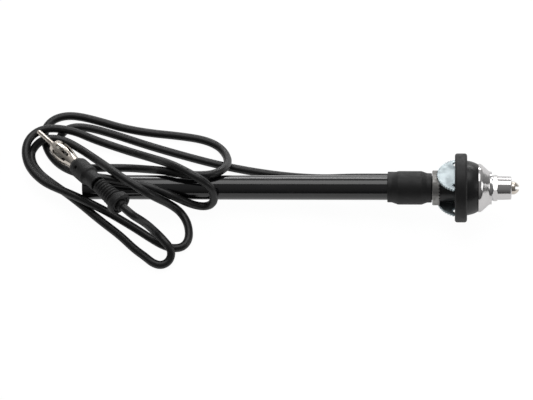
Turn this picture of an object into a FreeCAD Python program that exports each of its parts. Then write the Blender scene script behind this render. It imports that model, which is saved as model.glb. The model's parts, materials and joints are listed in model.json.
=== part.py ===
import FreeCAD, Part
import math
import os
import re
import Sketcher

# Retractable car aerial, laid on a flat surface with its lead loosely coiled beside it.
# Every piece of the mast is drawn along its own X axis: X = 0 is the back face of the claw's plate,
# +X runs out of the nose and -X down the guard tube. Lengths are millimetres, angles degrees.

Vector = FreeCAD.Vector
doc = FreeCAD.newDocument("TelescopicAntenna")
sheet = doc.addObject("Spreadsheet::Sheet", "Sizes")

# Driving sizes
SIZES = [
    # Clearances
    ("run_gap", 0.06, "one mast section running in another"),
    ("seat_gap", 0.03, "parts pushed together for good"),
    ("boot_gap", 0.1, "rubber boot to what it is pulled over"),
    ("ball_gap", 0.1, "swivel dome to the cap that clamps it"),
    ("ear_gap", 0.3, "ears to the ring that they swing past"),
    ("feed_gap", 0.35, "hole in the metal tube round the contact pin"),
    ("gasket_gap", 0.15, "flange to the plate's rim and to the dome"),
    ("cut_over", 1.0, "how far a cut runs past a face"),
    # Guard tube and its tail plug
    ("tube_radius", 7.4, "outside of the guard tube"),
    ("tube_wall", 0.8, "wall of the guard tube"),
    ("tube_back", 226.0, "seat to the tail end of the tube"),
    ("tube_front", 24.0, "seat to the front end of the tube, inside the boot"),
    ("plug_sink", 0.6, "how far the tail plug sits inside the tube"),
    ("plug_depth", 8.0, "length of the tail plug"),
    ("liner_seat", 3.0, "depth of the liner's seat in the tail plug"),
    ("drain_radius", 1.3, "drain hole in the tail plug"),
    # Rubber boot
    ("boot_back", 41.2, "seat to the tail face of the boot"),
    ("boot_lip_radius", 8.8, "tail lip of the boot"),
    ("boot_lip", 2.6, "length of the tail lip"),
    ("boot_radius", 10.15, "fat middle of the boot"),
    ("boot_step", 4.0, "length of the step from lip to middle"),
    ("boot_collar_radius", 8.9, "front collar of the boot"),
    ("boot_collar", 2.8, "length of the front collar"),
    ("boot_shoulder", 3.4, "length of the slope down to the front collar"),
    ("boot_ring_gap", 0.3, "front face of the boot to the toothed ring"),
    # Head body: spigot, neck and stem in one moulding
    ("spigot_length", 14.0, "spigot inside the guard tube"),
    ("neck_radius", 8.5, "black neck between the ring and the claw's plate"),
    ("neck_shoulder", 1.3, "step from the neck down to the seat of the toothed ring and the boot"),
    ("neck_ahead", 2.0, "front end of the neck, inside the dome"),
    ("shank_radius", 6.9, "thick part of the stem inside the dome"),
    ("shank_ahead", 13.0, "front end of the thick part"),
    ("stem_radius", 6.0, "stem that carries the nut"),
    # Toothed ring
    ("ring_back", 14.1, "seat to the tail face of the toothed ring"),
    ("ring_length", 4.6, "length of the toothed ring"),
    ("ring_proud", 0.4, "how far the ring stands out past the ears"),
    ("ring_edge", 0.3, "broken edges of the ring"),
    ("ring_teeth", 32, "notches round the toothed face"),
    ("ring_tooth_depth", 1.1, "depth of a notch"),
    ("ring_tooth_width", 1.3, "width of a notch at the face"),
    # Claw bracket
    ("plate_rim", 0.14, "claw plate's edge outside the corners of the ears"),
    ("plate_thick", 1.2, "sheet of the claw bracket"),
    ("pivot_ahead", 4.85, "centre of the ears' arcs and of the dome"),
    ("ear_radius", 16.2, "toothed arc of an ear"),
    ("neck_play", 0.4, "neck to the inner face of an ear"),
    ("tilt_room", 1.9, "neck to the end of the plate's slot, room for it to tilt"),
    ("ear_teeth", 23, "notches along the arc of an ear"),
    ("ear_sweep", 138.0, "arc that carries the notches"),
    ("ear_tooth_depth", 0.85, "depth of an ear's notch"),
    ("ear_tooth_width", 1.15, "width of an ear's notch at the edge"),
    ("relief_inset", 2.26, "bend relief: its far end from the ear's corner"),
    ("relief_width", 5.6, "bend relief: its width along the bend"),
    ("relief_depth", 2.3, "bend relief: depth behind the plate"),
    ("claw_roll", -19.0, "turn of the claw about the mast"),
    # Base gasket
    ("gasket_rim", 2.2, "how far the flange reaches past the claw's plate"),
    ("gasket_ahead", 6.8, "front face of the flange"),
    ("gasket_lip", 0.6, "lip of the flange behind the claw's plate"),
    ("gasket_edge", 1.5, "rounding of the flange's rim"),
    # Swivel dome
    ("dome_inset", 2.0, "outside of the dome inside the plate's edge"),
    ("dome_wall", 2.0, "wall of the dome"),
    ("dome_hole_angle", 41.0, "half angle of the hole in the dome's crown"),
    # Chrome cap
    ("cap_rim_angle", 58.4, "half angle of the cap's rim on the ball"),
    ("cap_rim_wall", 0.45, "thickness of the rim"),
    ("cap_round", 3.6, "rounding behind the cap's cone"),
    ("cap_cone_angle", 42.4, "slope of the cap's cone"),
    ("cap_waist", 2.0, "hollow rounding ahead of the cone"),
    ("cap_step", 6.7, "dome's outside to the top of the cap"),
    ("cap_top_land", 0.5, "straight edge of the top"),
    ("cap_seat_land", 0.7, "end of the ball seat to the stem's hole"),
    # Washer and nose nut
    ("washer_thick", 0.7, "washer under the nut"),
    ("washer_radius", 7.6, "outside of the washer"),
    ("hex_thick", 2.8, "thickness of the nut's hexagon"),
    ("hex_radius", 8.5, "hexagon over its corners"),
    ("hex_chamfer", 0.5, "chamfer of the hexagon's corners"),
    ("hex_roll", 41.3, "turn of a corner from upright"),
    ("nose_radius", 7.2, "nose at the hexagon"),
    ("nose_end_radius", 7.0, "nose at its face"),
    ("nose_length", 8.3, "length of the nose ahead of the hexagon"),
    ("nose_edge", 0.4, "broken front edge of the nose"),
    ("nose_lip", 0.8, "lip that holds the bush in the nose"),
    ("nose_mouth_radius", 4.5, "mouth of the nose"),
    ("bush_length", 2.5, "insulating bush in the nose"),
    # Insulating liner and mast sections
    ("liner_wall", 1.0, "wall of the insulating liner"),
    ("foot_wall", 0.5, "wall of the first section's foot"),
    ("foot_length", 8.0, "foot bush of a section"),
    ("section_1_radius", 3.6, "first section"),
    ("section_2_radius", 2.85, "second section"),
    ("section_3_radius", 2.15, "third section"),
    ("rod_radius", 1.45, "top rod"),
    ("section_wall", 0.35, "wall of the drawn sections"),
    ("section_back", 214.0, "seat to the tail of the first section"),
    ("section_step", 2.0, "how much shorter each next section is"),
    ("lip_length", 6.0, "drawn-in mouth of a section"),
    # Knob on the rod
    ("knob_gap", 0.2, "face of the nose to the knob"),
    ("knob_radius", 3.9, "ball of the knob"),
    ("knob_flat", 0.7, "flat back of the knob to the ball's centre"),
    ("knob_slot", 1.6, "width of the slot"),
    ("knob_slot_depth", 2.5, "depth of the slot"),
    ("knob_slot_roll", -57.0, "turn of the slot about the mast"),
    ("knob_bore", 1.8, "depth of the knob's bore"),
    ("rod_end_gap", 0.1, "end of the rod to the bottom of its bore"),
    # Feed from the lead to the mast
    ("contact_ahead", 1.0, "end of the spigot to the contact ring"),
    ("contact_length", 6.0, "length of the contact ring"),
    ("contact_pin_radius", 0.9, "radial contact pin"),
    ("lead_radius", 2.5, "outside of the coaxial lead"),
    ("lead_offset", 10.4, "mast axis to the lead's axis in the boot"),
    ("lead_roll", -110.0, "turn of the spout about the mast, from upright"),
    ("ferrule_radius", 2.7, "crimp ferrule on the lead's end"),
    ("ferrule_bore", 2.0, "bore of the ferrule"),
    ("ferrule_length", 11.0, "length of the ferrule"),
    ("spout_wall", 0.85, "rubber round the ferrule"),
    ("spout_length", 15.0, "straight length of the boot's spout"),
    # Place of the plug, from the tip of its pin
    ("plug_x", -161.76, "tip of the pin along the floor, with the mast"),
    ("plug_y", 35.12, "tip of the pin along the floor, across the mast"),
    ("plug_z", 14.4, "height of the tip"),
    ("plug_yaw", -49.7, "heading of the plug, tip to tail"),
    ("plug_rise", 15.6, "slope of the plug, tip to tail"),
    ("plug_roll", 11.6, "turn of the barrel about its own axis"),
    # Plug, measured from the tip of the pin
    ("pin_radius", 1.5, "centre pin"),
    ("pin_nose", 1.2, "rounded end of the pin"),
    ("pin_length", 27.3, "whole length of the pin"),
    ("insulator_front", 20.8, "face of the insulator"),
    ("insulator_length", 6.0, "length of the insulator"),
    ("barrel_front", 20.3, "mouth of the barrel"),
    ("barrel_mouth_radius", 4.85, "barrel at its mouth"),
    ("barrel_wide", 28.6, "widest place of the barrel"),
    ("barrel_radius", 5.6, "barrel at its widest"),
    ("barrel_narrow", 41.0, "start of the barrel's straight tail"),
    ("barrel_tail_radius", 3.95, "barrel's tail"),
    ("barrel_back", 51.0, "end of the barrel, inside the sleeve"),
    ("barrel_wall", 0.55, "wall of the barrel"),
    ("barrel_slots", 8, "slots round the barrel"),
    ("slot_start", 23.6, "front end of the slots"),
    ("slot_length", 12.7, "length of a slot"),
    ("slot_width", 2.0, "width of a slot"),
    ("sleeve_front", 42.4, "front edge of the rubber sleeve"),
    ("sleeve_nose_radius", 5.0, "sleeve at its front edge"),
    ("sleeve_taper", 3.0, "length of the sleeve's taper"),
    ("sleeve_radius", 6.2, "fat part of the sleeve"),
    ("sleeve_step", 56.5, "end of the fat part"),
    ("sleeve_slope", 1.4, "length of the step down"),
    ("sleeve_tail_radius", 4.95, "thin part of the sleeve"),
    ("sleeve_edge", 0.5, "rounded edges of the sleeve"),
    ("sleeve_hole_back", 49.0, "crimp hole in the sleeve"),
    ("sleeve_hole_radius", 1.1, "radius of the crimp hole"),
    ("sleeve_hole_floor", 4.6, "plug's axis to the bottom of the crimp hole"),
    ("sleeve_roll", 37.0, "turn of the crimp hole about the plug, from upright"),
    ("joint_reach", 66.95, "centre of the flexing joint"),
    ("joint_gap", 0.7, "tail face of the sleeve to the joint's centre"),
    ("joint_radius", 4.1, "ball of the joint"),
    ("joint_play", 0.05, "ball to its socket"),
    # Ribbed relief, measured from the joint's centre
    ("relief_yaw", -45.7, "heading of the relief, joint to tail"),
    ("relief_rise", 3.7, "slope of the relief"),
    ("rib_start", 2.4, "front face of the first rib"),
    ("rib_front_radius", 4.6, "first rib"),
    ("rib_back_radius", 5.8, "last rib"),
    ("rib_depth", 0.8, "depth of a groove"),
    ("rib_pitch", 2.05, "spacing of the ribs"),
    ("rib_thick", 1.2, "thickness of a rib"),
    ("rib_count", 7, "ribs along the relief"),
    ("flange_radius", 7.3, "end flange"),
    ("flange_thick", 3.8, "thickness of the end flange"),
    ("flange_edge", 0.6, "broken edges of the flange"),
    ("flange_rim", 1.4, "raised rim round the flange's tail face"),
    ("flange_dish", 1.2, "depth of the dished tail face"),
    ("boss_radius", 3.7, "boss that the lead comes out of"),
    ("boss_length", 2.0, "boss behind the flange"),
    # Lead
    ("lead_start_run", 12.0, "straight run out of the boot's spout"),
    ("lead_end_run", 8.0, "straight run into the relief"),
    ("lead_bend_share", 0.45, "share of the shorter run that a bend takes"),
]

# Sizes that follow from the driving ones
DERIVED = [
    ("ring_seat_radius", "neck_radius - neck_shoulder"),
    ("ear_inner", "neck_radius + neck_play"),
    ("ear_offset", "ear_inner + plate_thick"),
    ("ear_half", "sqrt(ear_radius ^ 2 - pivot_ahead ^ 2)"),
    ("relief_far", "ear_half - relief_inset"),
    ("relief_near", "relief_far - relief_width"),
    ("slot_reach", "neck_radius + tilt_room"),
    ("ring_radius", "ear_offset + ring_proud"),
    ("plate_radius", "sqrt(ear_half ^ 2 + ear_offset ^ 2) + plate_rim"),
    ("gasket_radius", "plate_radius + gasket_rim"),
    ("dome_radius", "plate_radius - dome_inset"),
    ("rim_reach", "tube_back - gasket_lip + gasket_edge"),
    ("rim_drop", "gasket_radius - gasket_edge - tube_radius"),
    ("mast_tilt", "atan(rim_drop / rim_reach) + asin(gasket_edge / sqrt(rim_drop ^ 2 + rim_reach ^ 2))"),
    ("seat_height", "tube_back * sin(mast_tilt) + tube_radius * cos(mast_tilt)"),
    ("tube_bore", "tube_radius - tube_wall"),
    ("tail_face", "-tube_back + plug_sink"),
    ("tail_front", "tail_face + plug_depth"),
    ("liner_bore", "section_1_radius + foot_wall + run_gap"),
    ("liner_radius", "liner_bore + liner_wall"),
    ("boot_front", "-ring_back - boot_ring_gap"),
    ("boot_tube_bore", "tube_radius + boot_gap"),
    ("boot_neck_bore", "ring_seat_radius + boot_gap"),
    ("spout_radius", "ferrule_radius + seat_gap + spout_wall"),
    ("ring_front", "-ring_back + ring_length"),
    ("dome_bore", "dome_radius - dome_wall"),
    ("dome_hole_ahead", "pivot_ahead + dome_radius * cos(dome_hole_angle * 1deg)"),
    ("dome_hole_radius", "dome_radius * sin(dome_hole_angle * 1deg)"),
    ("dome_mouth_ahead", "pivot_ahead + dome_bore * cos(dome_hole_angle * 1deg)"),
    ("dome_mouth_radius", "dome_bore * sin(dome_hole_angle * 1deg)"),
    ("cap_ball", "dome_radius + ball_gap"),
    ("cap_rim_ahead", "pivot_ahead + cap_ball * cos(cap_rim_angle * 1deg)"),
    ("cap_rim_bore", "cap_ball * sin(cap_rim_angle * 1deg)"),
    ("cap_top_radius", "dome_radius - cap_step"),
    ("cap_seat_radius", "stem_radius + boot_gap + cap_seat_land"),
    ("cap_rim_radius", "cap_rim_bore + cap_rim_wall"),
    ("cap_cone_ahead", "cap_rim_ahead + cap_round * sin(cap_cone_angle * 1deg)"),
    ("cap_cone_radius", "cap_rim_radius - cap_round * (1 - cos(cap_cone_angle * 1deg))"),
    ("cap_waist_radius", "cap_top_radius + cap_waist * (1 - cos(cap_cone_angle * 1deg))"),
    ("cap_waist_ahead", "cap_cone_ahead + (cap_cone_radius - cap_waist_radius) / tan(cap_cone_angle * 1deg)"),
    ("cap_neck_ahead", "cap_waist_ahead + cap_waist * sin(cap_cone_angle * 1deg)"),
    ("cap_top", "cap_neck_ahead + cap_top_land"),
    ("cap_seat_ahead", "pivot_ahead + sqrt(cap_ball ^ 2 - cap_seat_radius ^ 2)"),
    ("nut_back", "cap_top + washer_thick"),
    ("hex_front", "nut_back + hex_thick"),
    ("nose_face", "hex_front + nose_length"),
    ("bush_front", "nose_face - nose_lip"),
    ("stem_ahead", "bush_front - bush_length"),
    ("nut_bore", "stem_radius + seat_gap"),
    ("knob_back", "nose_face + knob_gap"),
    ("knob_centre", "knob_back + knob_flat"),
    ("rod_front", "knob_back + knob_bore - rod_end_gap"),
    ("contact_back", "-tube_front - spigot_length + contact_ahead"),
    ("feed_ahead", "contact_back + contact_length / 2"),
    ("feed_front", "-boot_back + ferrule_length"),
    ("tail_x", "-tube_back * cos(mast_tilt) - tube_radius * sin(mast_tilt)"),
    ("tip_x", "knob_centre * cos(mast_tilt) + knob_radius"),
    ("seat_x", "-(tail_x + tip_x) / 2"),
    ("mouth_bend", "((barrel_wide - barrel_front) ^ 2 + (barrel_radius - barrel_mouth_radius) ^ 2)"
                   " / (2 * (barrel_radius - barrel_mouth_radius))"),
    ("waist_run", "(barrel_narrow - barrel_wide) / 2"),
    ("waist_drop", "(barrel_radius - barrel_tail_radius) / 2"),
    ("waist_bend", "(waist_run ^ 2 + waist_drop ^ 2) / (2 * waist_drop)"),
    ("waist_angle", "asin(waist_run / waist_bend)"),
    ("sleeve_back", "joint_reach - joint_gap"),
    ("socket_radius", "joint_radius + joint_play"),
    ("socket_mouth", "sqrt(socket_radius ^ 2 - joint_gap ^ 2)"),
    ("joint_x", "plug_x + joint_reach * cos(plug_rise * 1deg) * cos(plug_yaw * 1deg)"),
    ("joint_y", "plug_y + joint_reach * cos(plug_rise * 1deg) * sin(plug_yaw * 1deg)"),
    ("joint_z", "plug_z + joint_reach * sin(plug_rise * 1deg)"),
    ("rib_slope", "(rib_back_radius - rib_front_radius) / (rib_pitch * rib_count)"),
    ("flange_start", "rib_start + rib_pitch * rib_count"),
    ("flange_back", "flange_start + flange_thick"),
    ("relief_back", "flange_back + boss_length"),
]

NAMES = set(row[0] for row in SIZES) | set(row[0] for row in DERIVED)


def cells(text):
    """Point every size name in an expression at its cell of the sheet."""
    return re.sub(r"[a-z][a-z0-9_]*", lambda m: "Sizes." + m.group() if m.group() in NAMES else m.group(), text)


def value(text):
    """The number that an expression on the sheet's sizes comes to."""
    result = sheet.evalExpression(cells(text))
    return float(getattr(result, "Value", result))


line = 1
for name, number, note in SIZES:
    sheet.set("A%d" % line, name)
    sheet.set("B%d" % line, str(number))
    sheet.set("C%d" % line, note)
    sheet.setAlias("B%d" % line, name)
    line += 1
for name, formula in DERIVED:
    sheet.set("A%d" % line, name)
    sheet.set("B%d" % line, "=" + formula)
    sheet.setAlias("B%d" % line, name)
    line += 1
    doc.recompute()

# Helpers

parts = []


def new_body(label):
    """A body of its own for one piece."""
    body = doc.addObject("PartDesign::Body", label)
    body.Label = label
    parts.append(body)
    return body


def on_mast(body, roll="0"):
    """Put a piece on the mast's axis, nose up by the mast's tilt and turned about the axis."""
    body.setExpression("Placement.Base.x", cells("seat_x"))
    body.setExpression("Placement.Base.z", cells("seat_height"))
    body.setExpression("Placement.Rotation.Pitch", cells("-mast_tilt"))
    body.setExpression("Placement.Rotation.Roll", cells("(%s) * 1deg" % roll))


def on_plug(body, roll="0"):
    """Put a piece on the plug's axis, X from the tip of the pin to the tail."""
    for axis in "xyz":
        body.setExpression("Placement.Base." + axis, cells("plug_" + axis))
    body.setExpression("Placement.Rotation.Yaw", cells("plug_yaw * 1deg"))
    body.setExpression("Placement.Rotation.Pitch", cells("-plug_rise * 1deg"))
    body.setExpression("Placement.Rotation.Roll", cells("(%s) * 1deg" % roll))


def on_relief(body):
    """Put the ribbed relief at the joint behind the plug's sleeve."""
    for axis in "xyz":
        body.setExpression("Placement.Base." + axis, cells("joint_" + axis))
    body.setExpression("Placement.Rotation.Yaw", cells("relief_yaw * 1deg"))
    body.setExpression("Placement.Rotation.Pitch", cells("-relief_rise * 1deg"))


def origin_part(body, role):
    """One of the body's own origin planes or axes."""
    return [feature for feature in body.Origin.OriginFeatures if feature.Role == role][0]


def new_sketch(body, plane, name, shift_x="0", shift_y="0", lift="0", turn="0"):
    """A sketch on one of the body's origin planes, shifted and turned in it and lifted off it."""
    sketch = body.newObject("Sketcher::SketchObject", body.Name + "_" + name)
    sketch.AttachmentSupport = [(origin_part(body, plane), "")]
    sketch.MapMode = "FlatFace"
    sketch.setExpression("AttachmentOffset.Base.x", cells(shift_x))
    sketch.setExpression("AttachmentOffset.Base.y", cells(shift_y))
    sketch.setExpression("AttachmentOffset.Base.z", cells(lift))
    sketch.setExpression("AttachmentOffset.Rotation.Yaw", cells("(%s) * 1deg" % turn))
    return sketch


def tie(sketch, kind, geometry, point, formula):
    """Hold one coordinate of a sketch point to a formula on the sheet."""
    index = sketch.addConstraint(Sketcher.Constraint(kind, -1, 1, geometry, point, value(formula)))
    sketch.setExpression("Constraints[%d]" % index, cells(formula))


def outline(sketch, steps):
    """
    Draw one closed outline from steps. A step (x, y) is reached by a straight line, and a step
    (x, y, centre_x, centre_y, turn) by an arc that turns "left" or "right" about its centre.
    """
    corners = [(value(step[0]), value(step[1])) for step in steps]
    ends = []
    for i in range(len(steps)):
        start = corners[i]
        end = corners[(i + 1) % len(steps)]
        step = steps[(i + 1) % len(steps)]
        if len(step) == 2:
            edge = Part.LineSegment(Vector(start[0], start[1], 0), Vector(end[0], end[1], 0))
            ends.append((sketch.addGeometry(edge, False), 1, 2))
            continue
        centre = Vector(value(step[2]), value(step[3]), 0)
        circle = Part.Circle(centre, Vector(0, 0, 1), math.hypot(start[0] - centre.x, start[1] - centre.y))
        start_angle = math.atan2(start[1] - centre.y, start[0] - centre.x)
        end_angle = math.atan2(end[1] - centre.y, end[0] - centre.x)
        if step[4] == "left":
            ends.append((sketch.addGeometry(Part.ArcOfCircle(circle, start_angle, end_angle), False), 1, 2))
        else:
            ends.append((sketch.addGeometry(Part.ArcOfCircle(circle, end_angle, start_angle), False), 2, 1))
    for i in range(len(steps)):
        here = ends[i - 1]
        after = ends[i]
        sketch.addConstraint(Sketcher.Constraint("Coincident", here[0], here[2], after[0], after[1]))
    for i in range(len(steps)):
        step = steps[i]
        hold_x = True
        hold_y = True
        if len(step) > 2:
            across = abs(corners[i][0] - value(step[2]))
            along = abs(corners[i][1] - value(step[3]))
            hold_x = along > across
            hold_y = not hold_x
            tie(sketch, "DistanceX", ends[i - 1][0], 3, step[2])
            tie(sketch, "DistanceY", ends[i - 1][0], 3, step[3])
        if hold_x:
            tie(sketch, "DistanceX", ends[i][0], ends[i][1], step[0])
        if hold_y:
            tie(sketch, "DistanceY", ends[i][0], ends[i][1], step[1])


def circle_in(sketch, radius, centre_x="0", centre_y="0"):
    """A full circle whose centre and radius follow the sheet."""
    centre = Vector(value(centre_x), value(centre_y), 0)
    geometry = sketch.addGeometry(Part.Circle(centre, Vector(0, 0, 1), value(radius)), False)
    tie(sketch, "DistanceX", geometry, 3, centre_x)
    tie(sketch, "DistanceY", geometry, 3, centre_y)
    index = sketch.addConstraint(Sketcher.Constraint("Radius", geometry, value(radius)))
    sketch.setExpression("Constraints[%d]" % index, cells(radius))


def turned(body, name, steps, cut=False, off_axis="0"):
    """Turn an outline (x along, y out) about an axis parallel to X, as material or as a cut."""
    sketch = new_sketch(body, "XZ_Plane", name, shift_y=off_axis)
    outline(sketch, steps)
    kind = "PartDesign::Groove" if cut else "PartDesign::Revolution"
    feature = body.newObject(kind, sketch.Name + "_turned")
    feature.Profile = sketch
    feature.ReferenceAxis = (sketch, ["H_Axis"])
    feature.Angle = 360
    return feature


def raised(body, sketch, height, both_ways=False):
    """Pad a sketch along its normal, or half each way."""
    feature = body.newObject("PartDesign::Pad", sketch.Name + "_pad")
    feature.Profile = sketch
    feature.setExpression("Length", cells(height))
    feature.Midplane = both_ways
    return feature


def sunk(body, sketch, depth, both_ways=False):
    """Cut a sketch along its normal, or half each way."""
    feature = body.newObject("PartDesign::Pocket", sketch.Name + "_cut")
    feature.Profile = sketch
    feature.setExpression("Length", cells(depth))
    feature.Reversed = True
    feature.Midplane = both_ways
    return feature


def repeated(body, feature, axis, count, angle="360"):
    """Repeat a feature round an axis, over the whole turn or over part of it."""
    pattern = body.newObject("PartDesign::PolarPattern", feature.Name + "_round")
    pattern.Originals = [feature]
    pattern.Axis = axis
    pattern.setExpression("Angle", cells("(%s) * 1deg" % angle))
    pattern.setExpression("Occurrences", cells(count))
    body.Tip = pattern
    return pattern


def mirrored(body, feature, plane):
    """Mirror a feature about one of the body's own planes."""
    mirror = body.newObject("PartDesign::Mirrored", feature.Name + "_mirror")
    mirror.Originals = [feature]
    mirror.MirrorPlane = (origin_part(body, plane), [""])
    body.Tip = mirror
    return mirror


def plain_ring(label, back, front, bore, radius):
    """A plain turned ring, bush or tube on the mast's axis."""
    body = new_body(label)
    turned(body, "ring", [(back, bore), (front, bore), (front, radius), (back, radius)])
    on_mast(body)
    return body


def feed_hole(body, radius, depth):
    """The radial hole that the contact pin passes, from the axis out towards the spout."""
    sketch = new_sketch(body, "XY_Plane", "feed_hole")
    circle_in(sketch, radius, "feed_ahead")
    return sunk(body, sketch, depth)


# Guard tube, with a hole for the feed near its front end
tube = new_body("guard_tube")
turned(tube, "wall", [
    ("-tube_back", "tube_bore"),
    ("-tube_front", "tube_bore"),
    ("-tube_front", "tube_radius"),
    ("-tube_back", "tube_radius"),
])
feed_hole(tube, "contact_pin_radius + feed_gap", "tube_radius + cut_over")
on_mast(tube, "lead_roll")

# Tail plug: closes the tube, holds the liner's end and drains the tube
tail_plug = new_body("tail_plug")
turned(tail_plug, "plug", [
    ("tail_face", "drain_radius"),
    ("tail_front - liner_seat", "drain_radius"),
    ("tail_front - liner_seat", "liner_radius + seat_gap"),
    ("tail_front", "liner_radius + seat_gap"),
    ("tail_front", "tube_bore - seat_gap"),
    ("tail_face", "tube_bore - seat_gap"),
])
on_mast(tail_plug)

# Rubber boot over the joint of tube and head, with the lead's spout on its far side
boot = new_body("rubber_boot")
turned(boot, "skin", [
    ("-boot_back", "0"),
    ("boot_front", "0"),
    ("boot_front", "boot_collar_radius"),
    ("boot_front - boot_collar", "boot_collar_radius"),
    ("boot_front - boot_collar - boot_shoulder", "boot_radius"),
    ("-boot_back + boot_lip + boot_step", "boot_radius"),
    ("-boot_back + boot_lip", "boot_lip_radius"),
    ("-boot_back", "boot_lip_radius"),
])
turned(boot, "spout", [
    ("-boot_back", "0"),
    ("-boot_back + spout_length + spout_radius", "0"),
    ("-boot_back + spout_length", "spout_radius", "-boot_back + spout_length", "0", "left"),
    ("-boot_back", "spout_radius"),
], off_axis="lead_offset")
turned(boot, "bore", [
    ("-boot_back - cut_over", "0"),
    ("boot_front + cut_over", "0"),
    ("boot_front + cut_over", "boot_neck_bore"),
    ("-tube_front", "boot_neck_bore"),
    ("-tube_front", "boot_tube_bore"),
    ("-boot_back - cut_over", "boot_tube_bore"),
], cut=True)
turned(boot, "spout_bore", [
    ("-boot_back - cut_over", "0"),
    ("feed_front + seat_gap", "0"),
    ("feed_front + seat_gap", "ferrule_radius + seat_gap"),
    ("-boot_back - cut_over", "ferrule_radius + seat_gap"),
], cut=True, off_axis="lead_offset")
feed_hole(boot, "contact_pin_radius + feed_gap", "lead_offset")
on_mast(boot, "lead_roll")

# Head body: spigot, ring seat, neck and stem, moulded in one
head = new_body("head_body")
turned(head, "moulding", [
    ("-tube_front - spigot_length", "liner_radius + seat_gap"),
    ("stem_ahead", "liner_radius + seat_gap"),
    ("stem_ahead", "stem_radius"),
    ("shank_ahead", "stem_radius"),
    ("shank_ahead", "shank_radius"),
    ("neck_ahead", "shank_radius"),
    ("neck_ahead", "neck_radius"),
    ("ring_front", "neck_radius"),
    ("ring_front", "ring_seat_radius"),
    ("-tube_front", "ring_seat_radius"),
    ("-tube_front", "tube_bore - seat_gap"),
    ("-tube_front - spigot_length", "tube_bore - seat_gap"),
])
feed_hole(head, "contact_pin_radius + seat_gap", "tube_radius")
on_mast(head, "lead_roll")

# Toothed ring: notches in its front face and two hollows that the claw's ears swing in
ring = new_body("toothed_ring")
turned(ring, "blank", [
    ("-ring_back", "ring_seat_radius + seat_gap"),
    ("ring_front", "ring_seat_radius + seat_gap"),
    ("ring_front", "ring_radius - ring_edge"),
    ("ring_front - ring_edge", "ring_radius"),
    ("-ring_back + ring_edge", "ring_radius"),
    ("-ring_back", "ring_radius - ring_edge"),
])
notch = new_sketch(ring, "XY_Plane", "notch")
outline(notch, [
    ("ring_front - ring_tooth_depth", "0"),
    ("ring_front", "-ring_tooth_width / 2"),
    ("ring_front + cut_over", "-ring_tooth_width / 2"),
    ("ring_front + cut_over", "ring_tooth_width / 2"),
    ("ring_front", "ring_tooth_width / 2"),
])
notches = sunk(ring, notch, "ring_radius + cut_over")
repeated(ring, notches, (origin_part(ring, "X_Axis"), [""]), "ring_teeth")
hollow = new_sketch(ring, "XY_Plane", "hollow", shift_x="pivot_ahead", lift="ear_inner - ear_gap")
circle_in(hollow, "ear_radius + ear_gap")
mirrored(ring, sunk(ring, hollow, "ring_radius"), "XY_Plane")
on_mast(ring, "claw_roll")

# Claw bracket: a plate with two toothed ears bent back on either side of the neck's slot
claw = new_body("claw_bracket")
plate = new_sketch(claw, "YZ_Plane", "plate")
circle_in(plate, "plate_radius")
raised(claw, plate, "plate_thick")
ear = new_sketch(claw, "XY_Plane", "ear", lift="ear_inner")
outline(ear, [
    ("0", "ear_half"),
    ("pivot_ahead - ear_radius", "0", "pivot_ahead", "0", "left"),
    ("0", "-ear_half", "pivot_ahead", "0", "left"),
    ("0", "-relief_far"),
    ("-relief_depth", "-(relief_near + relief_far) / 2"),
    ("0", "-relief_near"),
    ("0", "relief_near"),
    ("-relief_depth", "(relief_near + relief_far) / 2"),
    ("0", "relief_far"),
])
mirrored(claw, raised(claw, ear, "plate_thick"), "XY_Plane")
slot = new_sketch(claw, "YZ_Plane", "slot", lift="-cut_over")
outline(slot, [
    ("slot_reach - ear_inner", "-ear_inner"),
    ("slot_reach", "0", "slot_reach - ear_inner", "0", "left"),
    ("slot_reach - ear_inner", "ear_inner", "slot_reach - ear_inner", "0", "left"),
    ("ear_inner - slot_reach", "ear_inner"),
    ("-slot_reach", "0", "ear_inner - slot_reach", "0", "left"),
    ("ear_inner - slot_reach", "-ear_inner", "ear_inner - slot_reach", "0", "left"),
])
sunk(claw, slot, "plate_thick + 2 * cut_over")
tooth = new_sketch(claw, "XY_Plane", "tooth", shift_x="pivot_ahead", turn="-ear_sweep / 2")
outline(tooth, [
    ("ear_tooth_depth - ear_radius", "0"),
    ("-ear_radius - cut_over", "ear_tooth_width"),
    ("-ear_radius - cut_over", "-ear_tooth_width"),
])
teeth = sunk(claw, tooth, "2 * ear_offset + 2 * cut_over", both_ways=True)
repeated(claw, teeth, (tooth, ["N_Axis"]), "ear_teeth", "ear_sweep")
on_mast(claw, "claw_roll")

# Base gasket: a rubber flange with a recess for the claw's plate
gasket = new_body("base_gasket")
turned(gasket, "flange", [
    ("plate_thick + seat_gap", "dome_radius + gasket_gap"),
    ("gasket_ahead", "dome_radius + gasket_gap"),
    ("gasket_ahead", "gasket_radius - gasket_edge"),
    ("gasket_ahead - gasket_edge", "gasket_radius",
     "gasket_ahead - gasket_edge", "gasket_radius - gasket_edge", "left"),
    ("gasket_edge - gasket_lip", "gasket_radius"),
    ("-gasket_lip", "gasket_radius - gasket_edge",
     "gasket_edge - gasket_lip", "gasket_radius - gasket_edge", "left"),
    ("-gasket_lip", "plate_radius + gasket_gap"),
    ("plate_thick + seat_gap", "plate_radius + gasket_gap"),
])
on_mast(gasket)

# Swivel dome that the cap is clamped on
dome = new_body("swivel_dome")
turned(dome, "shell", [
    ("plate_thick", "dome_bore"),
    ("pivot_ahead", "dome_bore"),
    ("dome_mouth_ahead", "dome_mouth_radius", "pivot_ahead", "0", "right"),
    ("dome_hole_ahead", "dome_hole_radius"),
    ("pivot_ahead", "dome_radius", "pivot_ahead", "0", "left"),
    ("plate_thick", "dome_radius"),
])
on_mast(dome)

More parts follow.
